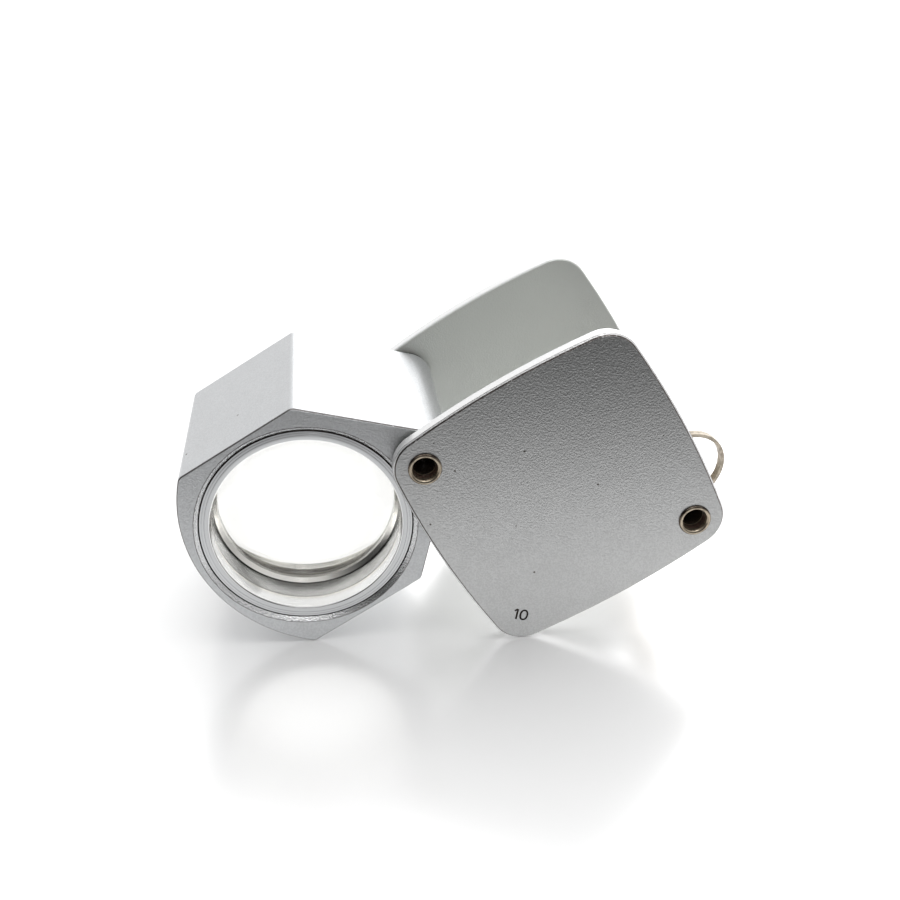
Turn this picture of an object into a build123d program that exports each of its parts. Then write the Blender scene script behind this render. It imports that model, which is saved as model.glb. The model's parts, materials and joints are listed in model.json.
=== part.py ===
from build123d import *
from math import asin, atan2, cos, degrees, hypot, pi, radians, sin, sqrt
import os

# Folding hand lens standing on its edges, lens body swung out of its two cover plates.
# Row frame: origin on the pivot axis, midway between the plates; +Y along that axis, from the
# front plate to the rear plate; +Z up; +X from the lens body towards the lanyard corner.
# All sizes are millimetres and degrees.

# ---------------------------------------------------------------- lens body
across_flats = 25.0          # between the two parallel flats
body_depth = 22.4            # along the optical axis
body_wall = 1.0              # between the bore and each flat, where it is thinnest
pivot_reach = 14.7           # optical axis to pivot axis
lug_radius = 3.15            # round nose of the pivot lug
end_reach = 12.7             # optical axis to the middle of the arched end
end_arc_radius = 17.5        # radius of the arched end
body_corner_radius = 0.9     # upright corners of the body
body_edge_break = 0.15       # chamfer round both outlines of the body
bore_mouth_chamfer = 0.4

# ---------------------------------------------------------------- cover plates
plate_thickness = 1.7
plate_corner_radius = 3.7
plate_side_radius = 100.0    # the sides are slightly bowed
plate_outer_chamfer = 0.28
plate_inner_chamfer = 0.18
eyelet_spacing = 30.5        # pivot axis to lanyard axis, along a diagonal
eyelet_set_out = 0.4         # each eyelet stands this far outside its corner's centre

# ---------------------------------------------------------------- eyelets, sleeve and washers
eyelet_bore_radius = 1.25
eyelet_wall = 0.2
eyelet_head_width = 0.33     # rolled head beyond the barrel
eyelet_head_height = 0.28
eyelet_mouth_flare = 0.11    # how far the mouth opens, part way up the head
eyelet_flare_share = 0.6     # height of that point, as a share of the head's
eyelet_lip_lean = 0.1        # the rim of the head turns in this much as it comes down
sleeve_wall = 0.32
washer_inset = 0.15          # washers inside the nose of the lug
washer_thickness = 0.4
spring_washer_thickness = 0.2
spring_washer_height = 0.3   # height of the dished washer as it is fitted

# ---------------------------------------------------------------- optical stack
ring_width = 1.2             # bore side to the opening that the eye looks through
ring_recess = 0.35           # retaining ring below the face of the body
ring_length = 1.75
ring_inner_break = 0.12
lens_surface_radius = 30.0   # every curved glass surface
flint_centre_thickness = 0.7
crown_edge_thickness = 0.5
gap_ring_thickness = 0.3     # between the two cemented pairs
glare_land_share = 0.52      # first land of the glare tube, as a share of its length
glare_cone_share = 0.3       # cone behind that land
glare_cone_step = 0.3        # how far the cone closes in
glare_groove_width = 0.12
glare_groove_depth = 0.1

# ---------------------------------------------------------------- split ring
split_ring_radius = 4.8      # outside
split_ring_wire = 0.42       # square section
split_ring_turns = 1.95
coil_clearance = 0.03
split_ring_yaw = 10.0        # the ring's plane is turned this much about the upright
split_ring_tip = 6.0         # its front face tips down this much
split_ring_swing = 36.0      # above the diagonal that runs out through the lanyard corner
split_ring_depth = -2.9      # along Y, from the middle of the cover
split_ring_turn = 60.0       # where round the ring the coil starts

# ---------------------------------------------------------------- fits
running_clearance = 0.05     # radial, lug on the pivot eyelet
seat_clearance = 0.03        # radial, pieces that do not turn on one another
stack_clearance = 0.02       # between faces that are clamped together
thread_clearance = 0.05      # radial, ring and tubes in the bore
ring_slack = 0.08            # split ring to sleeve where it rests

# ---------------------------------------------------------------- pose
opening_angle = 133.4        # lens body from its closed place between the plates

# ---------------------------------------------------------------- worked out from the above
half_flats = across_flats / 2
half_body = body_depth / 2
bore_radius = half_flats - body_wall
stack_radius = bore_radius - thread_clearance
clear_radius = stack_radius - ring_width
barrel_radius = eyelet_bore_radius + eyelet_wall
eyelet_head_radius = barrel_radius + eyelet_head_width
washer_radius = lug_radius - washer_inset
plate_inner_y = half_body + washer_thickness + spring_washer_height + 2 * stack_clearance
plate_outer_y = plate_inner_y + plate_thickness
plate_hole_radius = barrel_radius + seat_clearance
sleeve_bore_radius = barrel_radius + seat_clearance
sleeve_radius = sleeve_bore_radius + sleeve_wall
lug_bore_radius = barrel_radius + running_clearance
plate_centre = eyelet_spacing / 2
plate_corner_reach = plate_centre - eyelet_set_out

# The arched end and its corners, in the body's own plane (x towards the pivot)
end_arc_centre = end_arc_radius - end_reach
end_corner_x = end_arc_centre - sqrt(end_arc_radius**2 - half_flats**2)
end_fillet_x = end_arc_centre - sqrt(
    (end_arc_radius - body_corner_radius) ** 2 - (half_flats - body_corner_radius) ** 2
)
shoulder_x = pivot_reach + lug_radius * sqrt(2) - half_flats

# The body leans until its lower end corner and the plates' lower corner stand on one level.
fold = radians(180 - opening_angle)
body_foot = (end_fillet_x - pivot_reach, -(half_flats - body_corner_radius))
plate_foot = (
    plate_centre * cos(fold) - plate_corner_reach * sin(fold),
    -plate_centre * sin(fold) - plate_corner_reach * cos(fold),
)
foot_x = body_foot[0] - plate_foot[0]
foot_y = body_foot[1] - plate_foot[1]
foot_drop = body_corner_radius - plate_corner_radius
lean = pi - asin(foot_drop / hypot(foot_x, foot_y)) - atan2(foot_y, foot_x)
cover_lean = lean - fold

optical_x = -pivot_reach * cos(lean)
optical_z = -pivot_reach * sin(lean)
lanyard_x = eyelet_spacing * cos(cover_lean)
lanyard_z = eyelet_spacing * sin(cover_lean)
optical_axis = Axis((optical_x, 0, optical_z), (0, 1, 0))


def body_plane(y):
    """Plane across the lens body at depth y: origin on the optical axis, x towards the pivot."""
    return Plane((optical_x, y, optical_z), x_dir=(cos(lean), 0, sin(lean)), z_dir=(0, -1, 0))


def cover_plane(y):
    """Plane along the cover plates at depth y: origin at the pivot, x towards the lanyard."""
    return Plane((0, y, 0), x_dir=(cos(cover_lean), 0, sin(cover_lean)), z_dir=(0, -1, 0))


def sag(radius):
    """Depth of the lenses' spherical surface at a radius."""
    return lens_surface_radius - sqrt(lens_surface_radius**2 - radius**2)


def save(part, name):
    part.label = name
    export_step(part, f"parts/{name}.step")


def profile_plane(x, z, side):
    """Half-section plane of a round piece: x radial, y along the axis away from the middle."""
    return Plane((x, 0, z), x_dir=(1, 0, 0), z_dir=(0, 0, side))


# Distances of the stack from the middle of the body, the same towards both faces
flint_flat = gap_ring_thickness / 2 + stack_clearance
flint_vertex = flint_flat + flint_centre_thickness
crown_back_vertex = flint_vertex + stack_clearance
crown_back_edge = crown_back_vertex + sag(stack_radius)
crown_front_edge = crown_back_edge + crown_edge_thickness
crown_front_vertex = crown_front_edge + sag(stack_radius)
ring_outer_face = half_body - ring_recess
ring_inner_face = ring_outer_face - ring_length
tube_outer_face = ring_inner_face - stack_clearance
tube_throat = clear_radius - glare_cone_step
tube_inner_face = crown_front_vertex - sag(tube_throat) + stack_clearance
tube_length = tube_outer_face - tube_inner_face
glare_step = tube_outer_face - tube_length * glare_land_share
glare_cone_end = glare_step - tube_length * glare_cone_share


def lens_body_part():
    """Hexagonal body: two flats, a lug whose flanks meet square, and an arched end."""
    with BuildPart() as lens_body:
        with BuildSketch(body_plane(half_body)) as outline:
            with BuildLine():
                top_flat = Line((shoulder_x, half_flats), (end_corner_x, half_flats))
                arched_end = ThreePointArc(
                    top_flat @ 1, (-end_reach, 0), (end_corner_x, -half_flats)
                )
                low_flat = Line(arched_end @ 1, (shoulder_x, -half_flats))
                nose = CenterArc((pivot_reach, 0), lug_radius, -45, 90)
                Line(low_flat @ 1, nose @ 0)
                Line(nose @ 1, top_flat @ 0)
            make_face()
            corners = outline.vertices().group_by(Axis.Y)
            fillet(corners[0] + corners[-1], body_corner_radius)
        extrude(amount=body_depth)
        faces = lens_body.faces().sort_by(Axis.Y)
        chamfer(faces[0].edges() + faces[-1].edges(), body_edge_break)
        with BuildSketch(body_plane(half_body)):
            Circle(bore_radius)
            with Locations((pivot_reach, 0)):
                Circle(lug_bore_radius)
        extrude(amount=body_depth, mode=Mode.SUBTRACT)
        mouths = lens_body.edges().filter_by(GeomType.CIRCLE)
        mouths = mouths.filter_by(lambda edge: abs(edge.radius - bore_radius) < stack_clearance)
        chamfer(mouths, bore_mouth_chamfer)
    return lens_body.part


def retaining_ring_part(side):
    """Ring screwed into the mouth of the bore; its face lies a little below the body's."""
    with BuildPart() as retaining_ring:
        with BuildSketch(profile_plane(optical_x, optical_z, side)):
            with BuildLine():
                Polyline(
                    (clear_radius, ring_inner_face),
                    (stack_radius, ring_inner_face),
                    (stack_radius, ring_outer_face),
                    (clear_radius + ring_inner_break, ring_outer_face),
                    (clear_radius, ring_outer_face - ring_inner_break),
                    close=True,
                )
            make_face()
        revolve(axis=optical_axis)
    return retaining_ring.part


def glare_tube_part(side):
    """Tube between ring and glass: a land, a closing cone and a throat with a fine groove."""
    groove_y = (glare_cone_end + tube_inner_face + glare_groove_width) / 2
    groove_radius = tube_throat + glare_groove_depth
    with BuildPart() as glare_tube:
        with BuildSketch(profile_plane(optical_x, optical_z, side)):
            with BuildLine():
                Polyline(
                    (tube_throat, tube_inner_face),
                    (stack_radius, tube_inner_face),
                    (stack_radius, tube_outer_face),
                    (clear_radius + ring_inner_break, tube_outer_face),
                    (clear_radius, tube_outer_face - ring_inner_break),
                    (clear_radius, glare_step + glare_groove_width),
                    (clear_radius + glare_groove_depth, glare_step + glare_groove_width),
                    (clear_radius + glare_groove_depth, glare_step),
                    (clear_radius, glare_step),
                    (tube_throat, glare_cone_end),
                    (tube_throat, groove_y),
                    (groove_radius, groove_y),
                    (groove_radius, groove_y - glare_groove_width),
                    (tube_throat, groove_y - glare_groove_width),
                    close=True,
                )
            make_face()
        revolve(axis=optical_axis)
    return glare_tube.part


def crown_lens_part(side):
    """Biconvex element; its inner face is cemented to the flint."""
    with BuildPart() as crown_lens:
        with BuildSketch(profile_plane(optical_x, optical_z, side)):
            with BuildLine():
                back = RadiusArc(
                    (0, crown_back_vertex), (stack_radius, crown_back_edge), -lens_surface_radius
                )
                edge = Line(back @ 1, (stack_radius, crown_front_edge))
                front = RadiusArc(edge @ 1, (0, crown_front_vertex), -lens_surface_radius)
                Line(front @ 1, back @ 0)
            make_face()
        revolve(axis=optical_axis)
    return crown_lens.part


def flint_lens_part(side):
    """Plano-concave element; its flat face is towards the middle of the body."""
    with BuildPart() as flint_lens:
        with BuildSketch(profile_plane(optical_x, optical_z, side)):
            with BuildLine():
                hollow = RadiusArc(
                    (0, flint_vertex),
                    (stack_radius, flint_vertex + sag(stack_radius)),
                    -lens_surface_radius,
                )
                Polyline(hollow @ 1, (stack_radius, flint_flat), (0, flint_flat), hollow @ 0)
            make_face()
        revolve(axis=optical_axis)
    return flint_lens.part


def gap_ring_part():
    """Thin ring that holds the two cemented pairs apart."""
    with BuildPart() as gap_ring:
        with BuildSketch(body_plane(gap_ring_thickness / 2)):
            Circle(stack_radius)
            Circle(tube_throat, mode=Mode.SUBTRACT)
        extrude(amount=gap_ring_thickness)
    return gap_ring.part


def cover_plate_part(side):
    """Square plate with bowed sides and round corners, pierced for both eyelets."""
    half_side = plate_corner_reach / sqrt(2)
    side_blend = degrees(asin(half_side / (plate_side_radius - plate_corner_radius)))
    side_centre = half_side - (plate_side_radius - plate_corner_radius) * cos(radians(side_blend))
    with BuildPart() as cover_plate:
        with BuildSketch(cover_plane(side * plate_inner_y)):
            with BuildLine():
                for corner in (0, 90, 180, 270):
                    middle = corner + 45
                    CenterArc(
                        (
                            plate_centre + plate_corner_reach * cos(radians(corner)),
                            plate_corner_reach * sin(radians(corner)),
                        ),
                        plate_corner_radius,
                        corner - 45 + side_blend,
                        90 - 2 * side_blend,
                    )
                    CenterArc(
                        (
                            plate_centre + side_centre * cos(radians(middle)),
                            side_centre * sin(radians(middle)),
                        ),
                        plate_side_radius,
                        middle - side_blend,
                        2 * side_blend,
                    )
            make_face()
        extrude(amount=-side * plate_thickness)
        inner = cover_plate.faces().sort_by(Axis.Y)[0 if side > 0 else -1]
        chamfer(inner.edges(), plate_inner_chamfer)
        outer = cover_plate.faces().sort_by(Axis.Y)[-1 if side > 0 else 0]
        chamfer(outer.edges(), plate_outer_chamfer)
        with BuildSketch(cover_plane(side * plate_inner_y)):
            with Locations((0, 0), (eyelet_spacing, 0)):
                Circle(plate_hole_radius)
        extrude(amount=-side * plate_thickness, mode=Mode.SUBTRACT)
    return cover_plate.part


def eyelet_part(x, z):
    """Tubular rivet: a thin barrel through both plates with a rolled head at each end."""
    crest = plate_outer_y + eyelet_head_height
    mouth_radius = eyelet_bore_radius + eyelet_mouth_flare
    crest_radius = (mouth_radius + eyelet_head_radius) / 2
    flare_height = plate_outer_y + eyelet_head_height * eyelet_flare_share
    flare_foot = plate_outer_y - eyelet_head_height
    head_foot = plate_outer_y + stack_clearance
    with BuildPart() as eyelet:
        for side in (-1, 1):
            with BuildSketch(profile_plane(x, z, side)):
                with BuildLine():
                    mouth = Spline(
                        (eyelet_bore_radius, flare_foot),
                        (mouth_radius, flare_height),
                        (crest_radius, crest),
                        tangents=((0, 1), (1, 0)),
                    )
                    lip = Spline(
                        mouth @ 1,
                        (eyelet_head_radius, head_foot),
                        tangents=((1, 0), (-eyelet_lip_lean, -1)),
                    )
                    Polyline(
                        lip @ 1,
                        (barrel_radius, head_foot),
                        (barrel_radius, 0),
                        (eyelet_bore_radius, 0),
                        mouth @ 0,
                    )
                make_face()
            revolve(axis=Axis((x, 0, z), (0, 1, 0)))
    return eyelet.part


def lanyard_sleeve_part():
    """Tube on the lanyard eyelet that keeps the plates apart."""
    with BuildPart() as lanyard_sleeve:
        with BuildSketch(cover_plane(plate_inner_y)):
            with Locations((eyelet_spacing, 0)):
                Circle(sleeve_radius)
                Circle(sleeve_bore_radius, mode=Mode.SUBTRACT)
        extrude(amount=2 * plate_inner_y)
    return lanyard_sleeve.part


def friction_washer_part(side):
    """Flat washer against the lug."""
    face = side * (half_body + washer_thickness)
    with BuildPart() as friction_washer:
        with BuildSketch(cover_plane(face)):
            Circle(washer_radius)
            Circle(lug_bore_radius, mode=Mode.SUBTRACT)
        extrude(amount=side * washer_thickness)
    return friction_washer.part


def spring_washer_part(side):
    """Dished washer between the flat washer and the plate; it sets the hinge's drag."""
    foot = half_body + washer_thickness + stack_clearance
    top = foot + spring_washer_height
    with BuildPart() as spring_washer:
        with BuildSketch(profile_plane(0, 0, side)):
            with BuildLine():
                Polyline(
                    (lug_bore_radius, top - spring_washer_thickness),
                    (lug_bore_radius, top),
                    (washer_radius, foot + spring_washer_thickness),
                    (washer_radius, foot),
                    close=True,
                )
            make_face()
        revolve(axis=Axis.Y)
    return spring_washer.part


def split_ring_part():
    """Two-turn coil of square wire, resting on the sleeve."""
    coil_radius = split_ring_radius - split_ring_wire / 2
    pitch = split_ring_wire + coil_clearance
    coil_rise = pitch * split_ring_turns
    yaw = radians(split_ring_yaw)
    tip = radians(split_ring_tip)
    inner_reach = (split_ring_radius - split_ring_wire) * cos(yaw) - coil_rise * sin(yaw)
    reach = inner_reach - sleeve_radius - ring_slack
    bearing = cover_lean + radians(split_ring_swing)
    normal = Vector(sin(yaw) * cos(tip), -cos(yaw) * cos(tip), -sin(tip))
    centre = Vector(
        lanyard_x + reach * cos(bearing), split_ring_depth, lanyard_z + reach * sin(bearing)
    )
    coil_start = centre - normal * (coil_rise / 2)
    with BuildPart() as split_ring:
        with BuildLine():
            coil = Helix(
                pitch=pitch,
                height=coil_rise,
                radius=coil_radius,
                center=coil_start,
                direction=normal,
            )
        with BuildSketch(Plane(coil @ 0, x_dir=(coil @ 0) - coil_start, z_dir=coil % 0)):
            Rectangle(split_ring_wire, split_ring_wire)
        sweep(path=coil, is_frenet=True)
    return split_ring.part.rotate(Axis(centre, normal), split_ring_turn)


os.makedirs("parts", exist_ok=True)
save(lens_body_part(), "lens_body")
save(gap_ring_part(), "lens_gap_ring")
for side, word in ((-1, "front"), (1, "rear")):
    save(retaining_ring_part(side), f"{word}_retaining_ring")
    save(glare_tube_part(side), f"{word}_glare_tube")
    save(crown_lens_part(side), f"{word}_crown_lens")
    save(flint_lens_part(side), f"{word}_flint_lens")
    save(cover_plate_part(side), f"{word}_cover_plate")
    save(friction_washer_part(side), f"{word}_friction_washer")
    save(spring_washer_part(side), f"{word}_spring_washer")
save(eyelet_part(0, 0), "pivot_eyelet")
save(eyelet_part(lanyard_x, lanyard_z), "lanyard_eyelet")
save(lanyard_sleeve_part(), "lanyard_sleeve")
save(split_ring_part(), "split_ring")
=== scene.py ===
import json
from math import atan2, cos, pi, radians, sin, sqrt

import bpy
from bpy.props import FloatProperty, FloatVectorProperty, IntProperty, PointerProperty
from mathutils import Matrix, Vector

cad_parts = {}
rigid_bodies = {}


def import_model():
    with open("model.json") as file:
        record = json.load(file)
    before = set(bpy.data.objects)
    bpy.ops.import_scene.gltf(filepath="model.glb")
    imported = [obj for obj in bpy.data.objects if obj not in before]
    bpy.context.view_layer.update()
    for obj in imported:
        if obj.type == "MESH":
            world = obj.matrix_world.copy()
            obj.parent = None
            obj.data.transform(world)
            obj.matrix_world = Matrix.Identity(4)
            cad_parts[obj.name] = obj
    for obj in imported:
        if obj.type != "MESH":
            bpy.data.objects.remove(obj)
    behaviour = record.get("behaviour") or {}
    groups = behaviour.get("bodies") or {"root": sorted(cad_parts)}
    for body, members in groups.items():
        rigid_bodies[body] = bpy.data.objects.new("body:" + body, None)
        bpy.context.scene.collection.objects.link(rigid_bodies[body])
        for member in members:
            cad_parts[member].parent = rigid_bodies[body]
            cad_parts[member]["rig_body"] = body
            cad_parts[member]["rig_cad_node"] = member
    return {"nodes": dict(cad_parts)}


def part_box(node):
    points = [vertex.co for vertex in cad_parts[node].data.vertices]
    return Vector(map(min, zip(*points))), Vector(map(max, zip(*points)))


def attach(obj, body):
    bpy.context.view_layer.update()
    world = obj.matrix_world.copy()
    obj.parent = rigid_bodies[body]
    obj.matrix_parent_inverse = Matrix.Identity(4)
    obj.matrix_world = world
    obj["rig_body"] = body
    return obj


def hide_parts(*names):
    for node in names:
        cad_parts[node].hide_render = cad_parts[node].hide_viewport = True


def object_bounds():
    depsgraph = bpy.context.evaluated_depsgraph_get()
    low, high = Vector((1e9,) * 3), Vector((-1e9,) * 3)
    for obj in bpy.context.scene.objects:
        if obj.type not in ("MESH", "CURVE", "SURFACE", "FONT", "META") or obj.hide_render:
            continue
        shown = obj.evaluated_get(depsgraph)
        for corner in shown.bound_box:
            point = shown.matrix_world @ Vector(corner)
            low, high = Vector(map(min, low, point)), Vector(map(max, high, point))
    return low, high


bl_info = {
    "name": "Folding hand lens",
    "version": (1, 0, 0),
    "blender": (4, 5, 0),
    "location": "View3D > Sidebar > Hand lens",
    "description": "Finishes and round pieces of a folding hand lens, and the stage it stands on",
    "category": "Object",
}

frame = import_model()
CAD_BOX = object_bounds()
MM = 0.001
SIDES = (("front", -1), ("rear", 1))


# ---------------------------------------------------------------- places taken from the frame
def centre_of(node):
    """Middle of a node's box."""
    low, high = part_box(node)
    return (Vector(low) + Vector(high)) / 2


def reach_of(node):
    """Half the width of a round node, across X."""
    low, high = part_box(node)
    return (high[0] - low[0]) / 2


def depths_of(node):
    """Distances of a node's two ends from the middle of the lens, the nearer one first."""
    low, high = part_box(node)
    return sorted((abs(low[1]), abs(high[1])))


OPTICAL_AXIS = centre_of("front_retaining_ring")
LANYARD_AXIS = centre_of("lanyard_eyelet")
BORE_REACH = reach_of("front_retaining_ring")
BODY_FACE = depths_of("lens_body")[1]
PLATE_INNER, PLATE_OUTER = depths_of("front_cover_plate")
PLATE_LEAN = atan2(LANYARD_AXIS.z, LANYARD_AXIS.x)

# ---------------------------------------------------------------- grain of the finishes, per metre
SAND = 5300
MOTTLE = 420
SPECKS = 330
SPECK_PATCHES = 130
CHIPS = 2400
RAGGED_EDGE = 1700
BARE_METAL = 6500
LATHE_LINES = 9000
DUST = 900
TARNISH = 1400
BRUSHING = 1800

# ---------------------------------------------------------------- meshing
SMOOTH_ANGLE = radians(25)
GLASS_RINGS = 24
GLASS_HUB = 0.12 * MM
STROKE_SIDES = 20
RING_LINE_SHARES = (0.74, 0.5)

# ---------------------------------------------------------------- the figures, in figure heights
FIGURE_ONE = (((-0.42, -0.58), (-0.5, 0.52)), ((-0.5, 0.52), (-0.78, 0.29)))
NOUGHT_PLACE = 0.2
NOUGHT_WIDTH = 0.66
NOUGHT_LEAN = 0.7  # share of the plate's lean


# ---------------------------------------------------------------- settings
def length(name, description, millimetres):
    return FloatProperty(
        name=name,
        description=description,
        default=millimetres * MM,
        min=0,
        precision=5,
        unit="LENGTH",
    )


def colour(name, description, values):
    return FloatVectorProperty(
        name=name, description=description, default=values, size=3, min=0, max=1, subtype="COLOR"
    )


class LoupeSizes(bpy.types.PropertyGroup):
    """Sizes of the pieces that are turned on a lathe, and of the engraving."""

    opening: length("Opening", "Radius of the opening that the eye looks through", 10.25)
    edge_break: length("Edge break", "Bevel on the rings' sharp edges", 0.12)
    shoulder: length("Shoulder", "Bright strip at the outer end of the glare tube", 0.45)
    land_length: length("Land length", "Length of the outer land of the glare tube", 3.35)
    cone_step: length("Cone step", "How far the glare tube closes in along its cone", 0.42)
    throat_groove: length("Throat groove", "Depth of the throat's groove past the cone", 0.7)
    groove_width: length("Groove width", "Width of the fine grooves in the glare tubes", 0.12)
    groove_depth: length("Groove depth", "Depth of the fine grooves in the glare tubes", 0.1)
    line_width: length("Line width", "Width of the lines turned in the ring's face", 0.028)
    glass_curve: length("Glass curve", "Radius of every curved glass surface", 30)
    glass_bevel: length("Glass bevel", "Ground bevel round the front of each crown lens", 0.15)
    eyelet_bore: length("Eyelet bore", "Radius of the hole through each eyelet", 1.25)
    eyelet_barrel: length("Eyelet barrel", "Outside radius of each eyelet's barrel", 1.45)
    mouth_band: length("Mouth band", "Bare metal round the mouth of the bore", 0.46)
    mouth_rim: length("Mouth rim", "Half the width of the dark rim round that band", 0.04)
    mouth_wander: length("Mouth wander", "How far that rim strays from a circle", 0.16)
    body_chips: length("Body chips", "Depth of the chipped edge of the body", 0.15)
    plate_chips: length("Plate chips", "Depth of the chipped edge of the plates", 0.14)
    plate_corner: length("Plate corner", "Depth of the plates' side below the outer face", 0.28)
    # painted shade: the dark line along the plates' corner below the outer face
    corner_shade_line: length("Corner line", "Half the width of the dark line along that corner", 0.045)
    # painted highlight: the light line inside each eyelet's bore
    bore_highlight_depth: length("Bore step", "Depth of the worn line down each eyelet's bore", 1.15)
    figure_height: length("Figure height", "Height of the engraved figures", 1.2)
    figure_stroke: length("Figure stroke", "Width of the engraved strokes", 0.22)
    round_sides: IntProperty(
        name="Round sides",
        description="Sides of each turned piece",
        default=144,
        min=24,
        max=256,
    )


class LoupeColours(bpy.types.PropertyGroup):
    """Colours of the finishes."""

    paint: colour("Paint", "Satin silver paint of the body", (0.605, 0.615, 0.625))
    # painted shade: the plates' paint is a darker copy of the body's silver paint, darkened to
    # match how dim the plates look
    cover: colour("Cover paint", "Satin silver paint of the cover plates", (0.555, 0.559, 0.558))
    # painted light: a lighter copy of the plates' paint on their inner faces, for light bounced
    # between the plates
    inner_paint_with_painted_light: colour("Inner paint", "Inner faces of the cover plates", (0.63, 0.645, 0.62))
    speck: colour("Speck", "Small dark specks on the paint", (0.11, 0.10, 0.09))
    # also used as a painted highlight on the plates' sides and in the rings' bores
    bare: colour("Bare metal", "Aluminium where the paint ends", (0.92, 0.92, 0.92))
    turned: colour("Turned metal", "Turned aluminium rings", (0.62, 0.63, 0.64))
    # painted highlight: the cream tone stands in for light caught by the tube's cone, shoulder and
    # throat
    tube: colour("Tube", "Bright inside of the glare tubes", (0.96, 0.945, 0.90))
    # painted shade: a greyer copy for the land of the same metal
    land: colour("Tube land", "Greyer land of the glare tubes", (0.60, 0.60, 0.585))
    nickel: colour("Nickel", "Dulled nickel of the eyelets", (0.58, 0.50, 0.39))
    # this colour is dirt on chipped edges and rims, and also painted shade in the gap round each
    # ring, in the tubes' grooves, along the plates' corner and deep in the eyelets' bores
    grime_and_shade: colour("Grime", "Dirt in the joints", (0.05, 0.036, 0.03))
    # painted reflection: the brown stands in for warm reflections inside the eyelets' bores
    painted_bore_reflection: colour("Rust", "Brown dirt in the eyelets' bores", (0.15, 0.07, 0.055))
    warm_nickel: colour("Warm nickel", "Plating of the split ring", (0.49, 0.435, 0.36))
    steel: colour("Steel", "Oiled washers", (0.15, 0.145, 0.14))
    glass: colour("Glass", "Tint of the lenses", (1.0, 1.0, 0.992))
    fill: colour("Engraving fill", "Dark paint in the engraving", (0.03, 0.022, 0.018))
    floor: colour("Floor", "Glossy white floor", (0.88, 0.88, 0.88))


CAMERA_PLACE = tuple(c * MM for c in (-9.54, -121.08, 55.2))
CAMERA_TURN = (radians(63.81), radians(0.36), radians(-6.63))
GLASS_LIFT = 1.2  # surroundings seen through the lenses, against the light that the glass loses
LAMPS = {
    "overhead": ((0.02, 0.03, 0.42), 0.42),
    "back": ((0.21, 0.42, 0.14), 0.45),
    "front": ((-0.03, -0.35, 0.3), 0.25),
}


class LoupeStage(bpy.types.PropertyGroup):
    """Light levels and the camera's lens."""

    overhead: FloatProperty(
        name="Overhead", description="Power of the overhead lamp, in watts", default=1.2
    )
    back: FloatProperty(
        name="Back", description="Power of the lamp behind on the right, in watts", default=1.1
    )
    front: FloatProperty(
        name="Front", description="Power of the lamp over the viewer, in watts", default=0.04
    )
    focal: FloatProperty(
        name="Focal length", description="Camera focal length, in millimetres", default=46.87
    )


def sizes():
    return bpy.context.scene.loupe_sizes


def colours():
    return bpy.context.scene.loupe_colours


# ---------------------------------------------------------------- shader nodes
class Number:
    """A socket that carries a number, so that sums on it are written as arithmetic."""

    def __init__(self, finish, socket):
        self.finish = finish
        self.socket = socket

    def sum(self, operation, *others):
        inputs = dict(enumerate((self, *others)))
        return self.finish.add("Math", {"operation": operation}, inputs)

    def __add__(self, other):
        return self.sum("ADD", other)

    def __sub__(self, other):
        return self.sum("SUBTRACT", other)

    def __rsub__(self, other):
        return self.finish.add("Math", {"operation": "SUBTRACT"}, {0: other, 1: self})

    def __mul__(self, other):
        return self.sum("MULTIPLY", other)

    def __gt__(self, other):
        return self.sum("GREATER_THAN", other)

    def __lt__(self, other):
        return self.sum("LESS_THAN", other)

    def __abs__(self):
        return self.sum("ABSOLUTE")

    __radd__ = __add__
    __rmul__ = __mul__

    def root(self):
        return self.sum("SQRT")

    def ramp(self, start, end, low=0.0, high=1.0):
        """Smooth step from low at start to high at end."""
        inputs = {0: self, 1: start, 2: end, 3: low, 4: high}
        return self.finish.add("MapRange", {"interpolation_type": "SMOOTHSTEP"}, inputs)


class Finish:
    """A new material or world, and the one method that adds any node to it."""

    def __init__(self, name, owner=None):
        self.owner = owner or bpy.data.materials.new(name)
        self.owner.use_nodes = True
        self.tree = self.owner.node_tree
        self.tree.nodes.clear()

    def add(self, kind, settings, inputs, output=0):
        """Adds a node, sets it up, feeds its sockets and returns one of its outputs."""
        node = self.tree.nodes.new("ShaderNode" + kind)
        for name, value in settings.items():
            setattr(node, name, value)
        for key, value in inputs.items():
            socket = node.inputs[key]
            if isinstance(value, Number):
                self.tree.links.new(value.socket, socket)
            elif socket.type == "RGBA":
                socket.default_value = (*value[:3], 1)
            else:
                socket.default_value = value
        return Number(self, node.outputs[output]) if node.outputs else None

    def place(self, centre=(0, 0, 0), turn=(0, 0, 0)):
        """Object coordinates, moved to a centre and turned."""
        coordinates = self.add("TexCoord", {}, {}, "Object")
        return self.add(
            "Mapping",
            {"vector_type": "TEXTURE"},
            {"Vector": coordinates, "Location": tuple(centre), "Rotation": tuple(turn)},
        )

    def along(self, place, axis):
        """One coordinate of a place."""
        return self.add("SeparateXYZ", {}, {0: place}, axis)

    def from_axis(self, place):
        """Distance from a line along Y through the place's centre."""
        x = self.along(place, "X")
        z = self.along(place, "Z")
        return (x * x + z * z).root()

    def noise(self, place, scale, detail=2.0, roughness=0.5):
        inputs = {"Vector": place, "Scale": scale, "Detail": detail, "Roughness": roughness}
        return self.add("TexNoise", {}, inputs)

    def blend(self, factor, first, second):
        """Mix of two colours."""
        return self.add("Mix", {"data_type": "RGBA"}, {0: factor, 6: first, 7: second}, 2)

    def bump(self, height, distance, strength=1.0):
        inputs = {"Height": height, "Distance": distance, "Strength": strength}
        return self.add("Bump", {}, inputs)

    def surface(self, **inputs):
        """Ends the material in one Principled shader."""
        fed = {
            name.replace("_", " ").title().replace("Ior", "IOR"): value
            for name, value in inputs.items()
        }
        shader = self.add("BsdfPrincipled", {}, fed)
        self.add("OutputMaterial", {}, {"Surface": shader})
        return self.owner


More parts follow.
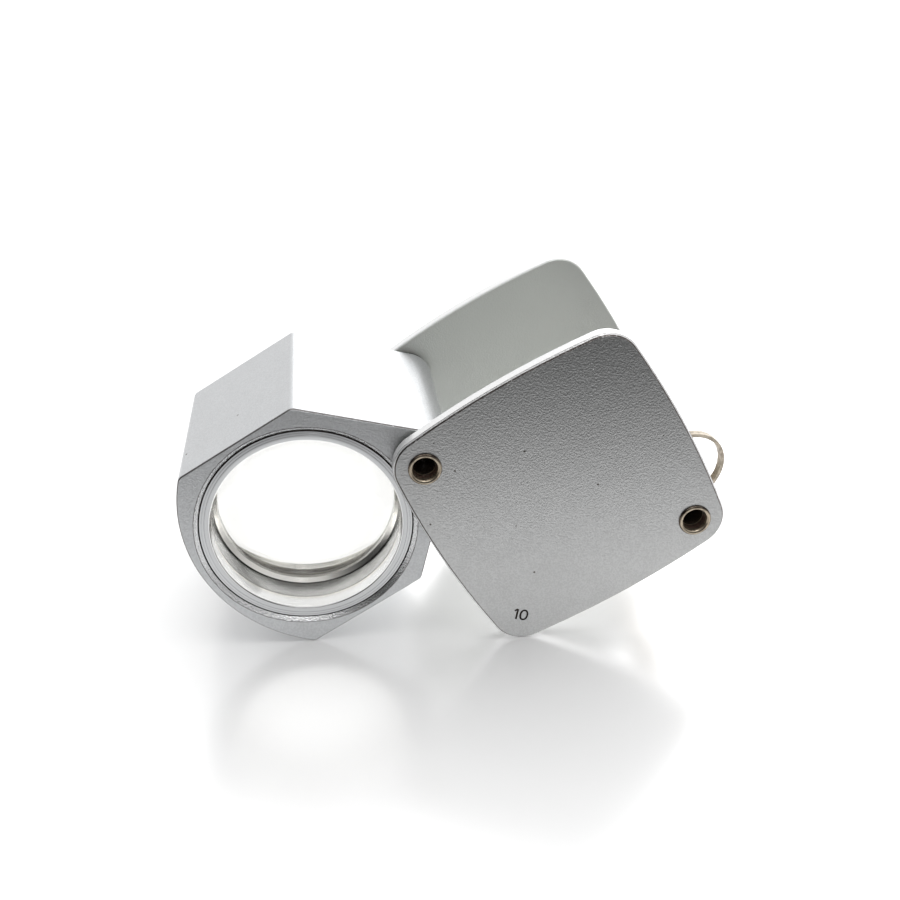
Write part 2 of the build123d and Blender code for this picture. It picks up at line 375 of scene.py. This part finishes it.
class Paint(Finish):
    """Silver paint with a sandy grain, mottling and dark specks.

    The contrast is the share of light that the darkest grains lose.
    """

    def __init__(self, name, light, contrast):
        super().__init__(name)
        self.room = self.place()
        self.depth = abs(self.along(self.room, "Y"))
        self.grain = self.noise(self.room, SAND, 2, 0.5)
        cell = self.add(
            "TexVoronoi", {"feature": "F1"}, {"Vector": self.room, "Scale": SPECKS}
        )
        specks = cell.ramp(0.035, 0.05, 1, 0) * (self.noise(self.room, SPECK_PATCHES) > 0.48)
        mottle = self.noise(self.room, MOTTLE, 4, 0.6)
        shade = mottle.ramp(0.35, 0.7) * 0.2 + self.grain.ramp(0.38, 0.62) * 0.8
        paint = self.blend(shade, light, tuple((1 - contrast) * c for c in light))
        self.spotted = self.blend(specks, paint, colours().speck)

    def worn_line(self, start, end):
        """Dark broken line between two depths, where paint has chipped off an edge."""
        band = (self.depth > start) * (self.depth < end)
        return band * self.noise(self.room, CHIPS, 3, 0.7).ramp(0.24, 0.42)


def body_paint():
    """Paint with a bare mouth to the bore and chipped edges."""
    finish = Paint("body_paint", colours().paint, 0.12)
    bore = finish.place(OPTICAL_AXIS)
    wander = sizes().mouth_wander
    ragged = finish.noise(bore, RAGGED_EDGE, 3, 0.7) * wander - wander / 2
    mouth = BORE_REACH + sizes().mouth_band
    radius = finish.from_axis(bore)
    inside = radius < mouth
    line = abs(radius + ragged - (mouth + 0.03 * MM)) < sizes().mouth_rim
    rim = line * (radius > mouth - 0.05 * MM)
    metal = finish.noise(bore, BARE_METAL, 3, 0.7)
    bare = finish.blend(metal.ramp(0.45, 0.65, 0.4, 1), colours().bare, colours().turned)
    worn = finish.worn_line(BODY_FACE - sizes().body_chips, BODY_FACE - 0.02 * MM) * (1 - inside)
    skin = finish.blend(inside, finish.spotted, bare)
    return finish.surface(
        base_color=finish.blend(worn.sum("MAXIMUM", rim) * 0.75, skin, colours().grime_and_shade),
        metallic=inside * 0.1 + 0.9,
        roughness=(1 - inside) * 0.16 + finish.grain * 0.1 + 0.2,
        normal=finish.bump(finish.grain + inside * metal * 0.6, 0.055 * MM, 0.7),
    )


def cover_paint():
    """Paint with sides in the bare-metal colour as a painted highlight, a painted shade line along
    the corner, chipped edges and filled figures.

    The plates' inner faces are smoother and less metallic than the outer ones, and take a lighter
    copy of the paint as painted bounce light.
    """
    # painted shade: the plates use the darker copy of the silver paint
    finish = Paint("cover_paint", colours().cover, 0.13)
    depth = finish.depth
    outer = depth.ramp(PLATE_INNER + 0.1 * MM, PLATE_INNER + 0.3 * MM)
    chips = PLATE_OUTER - sizes().plate_chips
    # painted highlight: the sides, from just past the inner face to the chipped edge, take the
    # bare-metal colour and less metal, so that they look lit white
    edge = (depth > PLATE_INNER + 0.08 * MM) * (depth < chips)
    # painted shade: a dark line along the corner where the chamfer meets the side
    corner = abs(depth - (PLATE_OUTER - sizes().plate_corner)) < sizes().corner_shade_line
    worn = finish.worn_line(chips, PLATE_OUTER - 0.005 * MM)
    # painted light: the inner faces take the lighter copy of the paint
    skin = finish.blend(outer, colours().inner_paint_with_painted_light, finish.spotted)
    # painted highlight on the sides
    skin = finish.blend(edge * 0.8, skin, colours().bare)
    figures = finish.place(figure_centre())
    middle = finish.add("VectorMath", {"operation": "LENGTH"}, {0: figures}, "Value")
    cut = (middle < sizes().figure_height * 1.2) * (depth < PLATE_OUTER - 0.015 * MM)
    # dark chipped paint along the edge, and the painted shade line along the corner
    skin = finish.blend((worn * 0.9).sum("MAXIMUM", corner * 0.45), skin, colours().grime_and_shade)
    return finish.surface(
        base_color=finish.blend(cut * 0.95, skin, colours().fill),
        metallic=outer * 0.55 + 0.35 - edge * 0.4,
        roughness=finish.grain * 0.1 + 0.26,
        normal=finish.bump(finish.grain, 0.05 * MM, 0.7),
    )


def turned_metal(name, roughness, tone):
    """Turned aluminium: fine rings about the lens axis, over a tone worked out by radius."""
    finish = Finish(name)
    place = finish.place((OPTICAL_AXIS.x, 0, OPTICAL_AXIS.z))
    radius = finish.from_axis(place)
    line = finish.add("CombineXYZ", {}, {0: radius, 1: finish.along(place, "Y"), 2: 0.0})
    rings = finish.noise(line, LATHE_LINES, 2, 0.6)
    face = radius > sizes().opening + sizes().edge_break
    shade = rings.ramp(0.35, 0.65) * (face * 0.25 + 0.08)
    return finish.surface(
        base_color=finish.blend(shade, tone(finish, place, radius, face), (0.3, 0.3, 0.3)),
        metallic=1.0,
        roughness=rings * 0.08 + roughness,
        normal=finish.bump(rings, 0.002 * MM, 0.5),
    )


def ring_tone(finish, place, radius, face):
    """Bore in the bare-metal colour as a painted highlight, a greyer face, and painted shade in
    the gap at the ring's outer rim next to the body.
    """
    # painted shade: the ring's outer rim is darkened for the shade in the gap between ring and
    # bore
    painted_gap_shade = radius > BORE_REACH - sizes().edge_break * 0.8
    # painted highlight: the bore takes the bare-metal colour, lighter than the face of the same
    # turned metal
    metal = finish.blend(face, colours().bare, colours().turned)
    return finish.blend(painted_gap_shade, metal, colours().grime_and_shade)


def tube_tone(finish, place, radius, face):
    """Cream metal as a painted highlight and a greyer land as painted shade, with painted shade in
    the fine grooves.
    """
    depth = abs(finish.along(place, "Y"))
    outer = depths_of("front_glare_tube")[1]
    # painted shade on the land; the rest of the tube takes the painted highlight tone
    land = (depth > outer - sizes().land_length) * (depth < outer - sizes().shoulder)
    # painted shade: darker in the fine grooves
    groove = radius > sizes().opening + sizes().groove_depth / 2
    metal = finish.blend(land, colours().tube, colours().land)
    return finish.blend(groove * 0.75, metal, colours().grime_and_shade)


def polished_glass(name, ior, gleam, alpha=1.0):
    """Clear glass with a trace of dust on it."""
    finish = Finish(name)
    dust = finish.noise(finish.place(), DUST, 3, 0.7).ramp(0.62, 0.8, 0, 0.03)
    return finish.surface(
        base_color=(*colours().glass, 1),
        roughness=dust,
        ior=ior,
        specular_ior_level=gleam,
        alpha=alpha,
        transmission_weight=1.0,
    )


def nickel(name, axis, light, dark):
    """Dulled plate with dirt round the rim, painted shade at the barrel's edge and deep in the
    bore, a brown painted reflection in the bore, and a light painted highlight line down it.
    """
    finish = Finish(name)
    place = finish.place(axis)
    radius = finish.from_axis(place)
    depth = abs(finish.along(place, "Y"))
    patches = finish.noise(place, TARNISH, 4, 0.6)
    bore = 1 - radius.ramp(sizes().eyelet_bore, sizes().eyelet_bore + 0.12 * MM)
    down = 1 - depth.ramp(PLATE_OUTER - 0.6 * MM, PLATE_OUTER + 0.1 * MM)
    barrel = sizes().eyelet_barrel
    rim = radius.ramp(barrel + 0.13 * MM, barrel + 0.27 * MM)
    # painted shade: a darker line at the barrel's radius
    painted_crease_shade = abs(radius - barrel).ramp(0, 0.06 * MM, 0.45, 0)
    # painted shade deep in the bore, and dirt in patches round the rim
    grime_and_shade = (bore * down).ramp(0.05, 0.8, 0, 0.82) + rim * (patches.ramp(0.3, 0.6, 0.6, 1))
    grime_and_shade = grime_and_shade.sum("MAXIMUM", painted_crease_shade)
    plate = finish.blend(patches.ramp(0.35, 0.7), light, dark)
    step = PLATE_OUTER - sizes().bore_highlight_depth
    # painted reflection: brown patches in the bore nearer the outer face
    brown = bore * (depth > step) * patches.ramp(0.3, 0.6, 0.4, 1)
    # dark colour is dirt at the rim and painted shade deep in the bore; brown is painted
    # reflection
    dirt = finish.blend(brown, colours().grime_and_shade, colours().painted_bore_reflection)
    # painted highlight: a light line round the bore, where the dark is taken away
    worn = bore * (abs(depth - step) < 0.12 * MM)
    return finish.surface(
        base_color=finish.blend(grime_and_shade * (1 - worn * 0.9), plate, dirt),
        metallic=1 - bore * down * 0.85,
        roughness=patches * 0.2 + 0.24,
        normal=finish.bump(patches, 0.02 * MM, 0.5),
    )


def plain_plate(name, light, dark, roughness=0.2):
    """Plated or plain steel with faint brushing."""
    finish = Finish(name)
    patches = finish.noise(finish.place(), BRUSHING, 4, 0.6)
    return finish.surface(
        base_color=finish.blend(patches.ramp(0.3, 0.7), light, dark),
        metallic=1.0,
        roughness=patches * 0.2 + roughness,
        normal=finish.bump(patches, 0.01 * MM, 0.4),
    )


def dress(node, material):
    """Gives a node or piece one material."""
    target = frame["nodes"][node] if isinstance(node, str) else node
    target.data.materials.clear()
    target.data.materials.append(material)


# ---------------------------------------------------------------- modelling
def finish_piece(piece, name, material, body, replaced):
    """Names a finished mesh, dresses it and ties it to its body."""
    piece.name = name
    dress(piece, material)
    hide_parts(replaced)
    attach(piece, body)
    return piece


def lathe(outline, centre, solid=False):
    """Turns an outline of (radius, depth) points round a line along Y.

    The outline of a ring closes on itself; that of a solid piece starts and ends at a small hub,
    which is drawn together on the line.
    """
    bpy.ops.object.select_all(action="DESELECT")
    radius, depth = outline[0]
    bpy.ops.mesh.primitive_circle_add(
        vertices=sizes().round_sides,
        radius=radius,
        location=(centre[0], depth, centre[2]),
        rotation=(pi / 2, 0, 0),
    )
    piece = bpy.context.object
    bpy.ops.object.mode_set(mode="EDIT")
    bpy.ops.mesh.select_all(action="SELECT")
    for next_radius, next_depth in outline[1:]:
        scale = next_radius / radius
        bpy.ops.mesh.extrude_region_move()
        bpy.ops.transform.resize(
            value=(scale, 1, scale), center_override=(centre[0], depth, centre[2])
        )
        bpy.ops.transform.translate(value=(0, next_depth - depth, 0))
        radius, depth = next_radius, next_depth
    bpy.ops.mesh.select_all(action="DESELECT")
    bpy.ops.mesh.select_non_manifold()
    if solid:
        bpy.ops.mesh.edge_collapse()
    else:
        bpy.ops.mesh.bridge_edge_loops()
    bpy.ops.mesh.select_all(action="SELECT")
    bpy.ops.mesh.normals_make_consistent(inside=False)
    bpy.ops.object.mode_set(mode="OBJECT")
    bpy.ops.object.transform_apply(location=True, rotation=True, scale=True)
    bpy.ops.object.shade_smooth_by_angle(angle=SMOOTH_ANGLE)
    return piece


def sag(radius):
    """Depth of the glass surface at a radius."""
    curve = sizes().glass_curve
    return curve - sqrt(curve**2 - radius**2)


def glass_radii(edge):
    """Radii from the edge of a lens to the small hub left round its axis."""
    return [edge + (GLASS_HUB - edge) * k / GLASS_RINGS for k in range(GLASS_RINGS + 1)]


def turn_ring(word, side):
    """Retaining ring: turned face, bright bore."""
    inner, outer = depths_of(f"{word}_retaining_ring")
    opening, edge = sizes().opening, sizes().edge_break
    cut = sizes().line_width
    face_lines = [
        (opening + share * (BORE_REACH - opening) + across * cut / 2, outer - down * cut / 2)
        for share in RING_LINE_SHARES
        for across, down in ((1, 0), (0, 1), (-1, 0))
    ]
    outline = [
        (opening, inner),
        (BORE_REACH, inner),
        (BORE_REACH, outer - edge),
        (BORE_REACH - edge, outer),
        *face_lines,
        (opening + edge, outer),
        (opening + edge * 0.4, outer - edge * 0.25),
        (opening, outer - edge),
    ]
    return lathe([(radius, side * depth) for radius, depth in outline], OPTICAL_AXIS)


def turn_tube(word, side):
    """Glare tube: a land, a fine groove, a steep cone and a grooved throat."""
    inner, outer = depths_of(f"{word}_glare_tube")
    opening = sizes().opening
    width, depth = sizes().groove_width, sizes().groove_depth
    throat = opening - sizes().cone_step
    shoulder = outer - sizes().shoulder
    step = outer - sizes().land_length
    cone_end = step - sizes().cone_step
    groove = cone_end - sizes().throat_groove
    outline = [
        (throat, inner),
        (BORE_REACH, inner),
        (BORE_REACH, outer),
        (opening, outer),
        (opening, shoulder + width / 2),
        (opening + depth, shoulder),
        (opening, shoulder - width / 2),
        (opening, step + width),
        (opening + depth, step + width),
        (opening + depth, step),
        (opening, step),
        (throat, cone_end),
        (throat, groove),
        (throat + depth, groove),
        (throat + depth, groove - width),
        (throat, groove - width),
    ]
    return lathe([(radius, side * depth) for radius, depth in outline], OPTICAL_AXIS)


def figure_centre():
    """Middle of the engraved figures, on the front plate's outer face by its lowest corner."""
    return Vector((10.53 * MM, -PLATE_OUTER, -18.91 * MM))


def merged_copy(node):
    """A copy of a CAD node with its loose triangles joined."""
    bpy.ops.object.select_all(action="DESELECT")
    source = frame["nodes"][node]
    source.select_set(True)
    bpy.context.view_layer.objects.active = source
    bpy.ops.object.duplicate()
    piece = bpy.context.object
    del piece["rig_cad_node"], piece["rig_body"]
    bpy.ops.object.parent_clear(type="CLEAR_KEEP_TRANSFORM")
    bpy.ops.mesh.customdata_custom_splitnormals_clear()
    bpy.ops.object.mode_set(mode="EDIT")
    bpy.ops.mesh.select_all(action="SELECT")
    bpy.ops.mesh.remove_doubles(threshold=0.001 * MM)
    bpy.ops.object.mode_set(mode="OBJECT")
    return piece


def figure_strokes():
    """Round cutters for the figures 1 and 0, half sunk in the face."""
    centre, height, stroke = figure_centre(), sizes().figure_height, sizes().figure_stroke
    lean = PLATE_LEAN
    along = Vector((cos(lean), 0, sin(lean)))
    up = Vector((-sin(lean), 0, cos(lean)))

    def bar(start, end):
        """Straight stroke between two places given in figure heights."""
        first, last = (centre + (along * a + up * b) * height for a, b in (start, end))
        bpy.ops.object.select_all(action="DESELECT")
        bpy.ops.mesh.primitive_cylinder_add(
            vertices=STROKE_SIDES,
            radius=stroke / 2,
            depth=(last - first).length,
            location=(first + last) / 2,
            rotation=(last - first).to_track_quat("Z", "Y").to_euler(),
        )
        return bpy.context.object

    strokes = [bar(start, end) for start, end in FIGURE_ONE]
    bpy.ops.object.select_all(action="DESELECT")
    bpy.ops.curve.primitive_bezier_circle_add(
        radius=height / 2,
        location=centre + along * (height * NOUGHT_PLACE),
        rotation=(pi / 2, 0, 0),
    )
    nought = bpy.context.object
    bpy.ops.object.mode_set(mode="EDIT")
    bpy.ops.curve.select_all(action="SELECT")
    bpy.ops.transform.resize(
        value=(NOUGHT_WIDTH, 1, 1), center_override=nought.location
    )
    bpy.ops.transform.rotate(
        value=lean * NOUGHT_LEAN, orient_axis="Y", center_override=nought.location
    )
    bpy.ops.object.mode_set(mode="OBJECT")
    nought.data.bevel_depth = stroke / 2
    bpy.ops.object.convert(target="MESH")
    return [*strokes, nought]


def carve(piece, cutters):
    """Cuts each cutter out of a piece and removes it."""
    for cutter in cutters:
        bpy.ops.object.select_all(action="DESELECT")
        piece.select_set(True)
        bpy.context.view_layer.objects.active = piece
        cut = piece.modifiers.new("cut", "BOOLEAN")
        cut.operation, cut.solver, cut.object = "DIFFERENCE", "EXACT", cutter
        bpy.ops.object.modifier_apply(modifier="cut")
        bpy.data.objects.remove(cutter)


# ---------------------------------------------------------------- operators
class LOUPE_OT_stage(bpy.types.Operator):
    """Adds the floor, the lamps, the surroundings and the camera"""

    bl_idname = "loupe.stage"
    bl_label = "Stage"

    def execute(self, context):
        settings = context.scene.loupe_stage
        ground = CAD_BOX[0][2]
        bpy.ops.object.select_all(action="DESELECT")
        bpy.ops.mesh.primitive_plane_add(size=4, location=(0, 0, ground))
        floor = context.object
        floor.name = "floor"
        dress(floor, self.floor_material())

        for name, (place, size) in LAMPS.items():
            self.lamp(f"{name}_lamp", place, size, getattr(settings, name))
        self.surroundings(context)

        bpy.ops.object.camera_add(location=CAMERA_PLACE, rotation=CAMERA_TURN)
        camera = context.object
        camera.data.lens = settings.focal
        camera.data.clip_start = 5 * MM
        context.scene.camera = camera
        context.scene.view_settings.view_transform = "Standard"
        return {"FINISHED"}

    def lamp(self, name, place, size, power):
        """A square soft lamp aimed at the hand lens."""
        aim = Vector(place).to_track_quat("Z", "Y").to_euler()
        bpy.ops.object.light_add(type="AREA", location=place, rotation=aim)
        lamp = bpy.context.object
        lamp.name = name
        lamp.data.shape = "SQUARE"
        lamp.data.size = size
        lamp.data.energy = power
        lamp.visible_transmission = False

    def floor_material(self):
        """White gloss; for the object's own reflections it darkens towards the viewer."""
        finish = Finish("floor")
        seen = finish.add("LightPath", {}, {}, "Is Camera Ray")
        through = finish.add("LightPath", {}, {}, "Is Transmission Ray")
        place = finish.place()
        lit = finish.along(place, "Y").ramp(-0.1, -0.025, 0.02, 1)
        tone = seen + (1 - seen) * lit
        white = finish.blend(tone, (0.02, 0.02, 0.02), colours().floor)
        matt = finish.add("BsdfDiffuse", {}, {"Color": white})
        gloss = finish.add("BsdfGlossy", {}, {"Color": white, "Roughness": 0.24})
        sheet = finish.add("MixShader", {}, {0: 0.4, 1: matt, 2: gloss})
        far = finish.add("VectorMath", {"operation": "LENGTH"}, {0: place}, "Value")
        glow = seen * far.ramp(0.06, 0.36, 0.13, 1) + (1 - seen) * lit * 0.29
        lifted = finish.add(
            "AddShader", {}, {0: sheet, 1: finish.add("Emission", {}, {"Strength": glow})}
        )
        bright = finish.add("Emission", {}, {"Strength": GLASS_LIFT})
        both = finish.add("MixShader", {}, {0: through, 1: lifted, 2: bright})
        finish.add("OutputMaterial", {}, {"Surface": both})
        return finish.owner

    def surroundings(self, context):
        """White to the camera; to the object, bright above and behind and dim in front."""
        world = context.scene.world or bpy.data.worlds.new("surroundings")
        context.scene.world = world
        finish = Finish("surroundings", world)
        direction = finish.add("TexCoord", {}, {}, "Generated")
        height = finish.along(direction, "Z")
        aside = finish.along(direction, "X") * 0.4
        behind = (finish.along(direction, "Y") + height * 0.8 + aside).ramp(-0.4, 0.7, 0.05, 1)
        seen = finish.add("LightPath", {}, {}, "Is Camera Ray")
        through = finish.add("LightPath", {}, {}, "Is Transmission Ray")
        clear = seen.sum("MAXIMUM", through)
        strength = clear + through * (GLASS_LIFT - 1) + (1 - clear) * behind
        sky = finish.add("Background", {}, {"Color": (1, 1, 1, 1), "Strength": strength})
        finish.add("OutputWorld", {}, {"Surface": sky})


class LOUPE_OT_lens_body(bpy.types.Operator):
    """Paints the lens body"""

    bl_idname = "loupe.lens_body"
    bl_label = "Lens body"

    def execute(self, context):
        dress("lens_body", body_paint())
        return {"FINISHED"}


class LOUPE_OT_cover_plates(bpy.types.Operator):
    """Paints the cover plates and engraves the figures"""

    bl_idname = "loupe.cover_plates"
    bl_label = "Cover plates"

    def execute(self, context):
        paint = cover_paint()
        dress("rear_cover_plate", paint)
        plate = merged_copy("front_cover_plate")
        carve(plate, figure_strokes())
        bpy.ops.object.shade_smooth_by_angle(angle=SMOOTH_ANGLE)
        finish_piece(
            plate, "front_figured_plate", paint, "cover", "front_cover_plate"
        )
        return {"FINISHED"}


class LOUPE_OT_rings(bpy.types.Operator):
    """Turns the retaining rings and glare tubes that line the bore"""

    bl_idname = "loupe.rings"
    bl_label = "Rings and tubes"

    def execute(self, context):
        bright = turned_metal("turned_aluminium", 0.08, ring_tone)
        dull = turned_metal("tube_aluminium", 0.12, tube_tone)
        for word, side in SIDES:
            finish_piece(
                turn_ring(word, side), f"{word}_turned_ring", bright,
                "lens", f"{word}_retaining_ring",
            )
            finish_piece(
                turn_tube(word, side), f"{word}_turned_tube", dull,
                "lens", f"{word}_glare_tube",
            )
        dress("lens_gap_ring", dull)
        return {"FINISHED"}


class LOUPE_OT_glass(bpy.types.Operator):
    """Grinds the four lenses"""

    bl_idname = "loupe.glass"
    bl_label = "Lenses"

    def execute(self, context):
        crown = polished_glass("crown_glass", 1.52, 0.07)
        flint = polished_glass("flint_glass", 1.52, 0.02, 0.07)
        for word, side in SIDES:
            edge = BORE_REACH
            radii = glass_radii(edge)
            back, front = depths_of(f"{word}_crown_lens")
            bevel = sizes().glass_bevel
            outline = [(r, back + sag(r)) for r in reversed(radii)]
            rim = front - sag(edge)
            outline += [(edge, rim - bevel)]
            outline += [(r, front - sag(r)) for r in radii if r < edge - bevel]
            finish_piece(
                lathe([(r, side * d) for r, d in outline], OPTICAL_AXIS, solid=True),
                f"{word}_crown_glass", crown, "lens", f"{word}_crown_lens",
            )
            flat, rim = depths_of(f"{word}_flint_lens")
            hollow = rim - sag(edge)
            outline = [(radii[-1], flat), (edge, flat)]
            outline += [(r, hollow + sag(r)) for r in radii]
            finish_piece(
                lathe([(r, side * d) for r, d in outline], OPTICAL_AXIS, solid=True),
                f"{word}_flint_glass", flint, "lens", f"{word}_flint_lens",
            )
        return {"FINISHED"}


class LOUPE_OT_eyelets(bpy.types.Operator):
    """Finishes the eyelets, the sleeve and the washers"""

    bl_idname = "loupe.eyelets"
    bl_label = "Eyelets and washers"

    def execute(self, context):
        tan, dark = colours().nickel, tuple(0.6 * c for c in colours().nickel)
        dress("pivot_eyelet", nickel("pivot_nickel", (0, 0, 0), tan, dark))
        dress("lanyard_eyelet", nickel("lanyard_nickel", LANYARD_AXIS, tan, dark))

        warm = colours().warm_nickel
        sleeve = plain_plate("sleeve_nickel", warm, tuple(0.8 * c for c in warm), 0.22)
        dress("lanyard_sleeve", sleeve)
        dark = tuple(0.6 * c for c in colours().steel)
        steel = plain_plate("washer_steel", colours().steel, dark)
        for word, _ in SIDES:
            dress(f"{word}_friction_washer", steel)
            dress(f"{word}_spring_washer", steel)
        return {"FINISHED"}


class LOUPE_OT_split_ring(bpy.types.Operator):
    """Finishes the split ring"""

    bl_idname = "loupe.split_ring"
    bl_label = "Split ring"

    def execute(self, context):
        warm = colours().warm_nickel
        dark = tuple(0.6 * c for c in warm)
        dress("split_ring", plain_plate("split_ring_nickel", warm, dark, 0.36))
        return {"FINISHED"}


class LOUPE_PT_panel(bpy.types.Panel):
    """Lists the pieces"""

    bl_label = "Hand lens"
    bl_space_type = "VIEW_3D"
    bl_region_type = "UI"
    bl_category = "Hand lens"

    def draw(self, context):
        for operator in OPERATORS:
            self.layout.operator(operator.bl_idname)


GROUPS = (LoupeSizes, LoupeColours, LoupeStage)
OPERATORS = (
    LOUPE_OT_stage,
    LOUPE_OT_lens_body,
    LOUPE_OT_cover_plates,
    LOUPE_OT_rings,
    LOUPE_OT_glass,
    LOUPE_OT_eyelets,
    LOUPE_OT_split_ring,
)


def register():
    for group in (*GROUPS, *OPERATORS, LOUPE_PT_panel):
        bpy.utils.register_class(group)
    bpy.types.Scene.loupe_sizes = PointerProperty(type=LoupeSizes)
    bpy.types.Scene.loupe_colours = PointerProperty(type=LoupeColours)
    bpy.types.Scene.loupe_stage = PointerProperty(type=LoupeStage)


def unregister():
    del bpy.types.Scene.loupe_stage
    del bpy.types.Scene.loupe_colours
    del bpy.types.Scene.loupe_sizes
    for group in reversed((*GROUPS, *OPERATORS, LOUPE_PT_panel)):
        bpy.utils.unregister_class(group)


def main():
    register()
    bpy.ops.loupe.stage()
    bpy.ops.loupe.lens_body()
    bpy.ops.loupe.cover_plates()
    bpy.ops.loupe.rings()
    bpy.ops.loupe.glass()
    bpy.ops.loupe.eyelets()
    bpy.ops.loupe.split_ring()


if __name__ == "__main__":
    main()
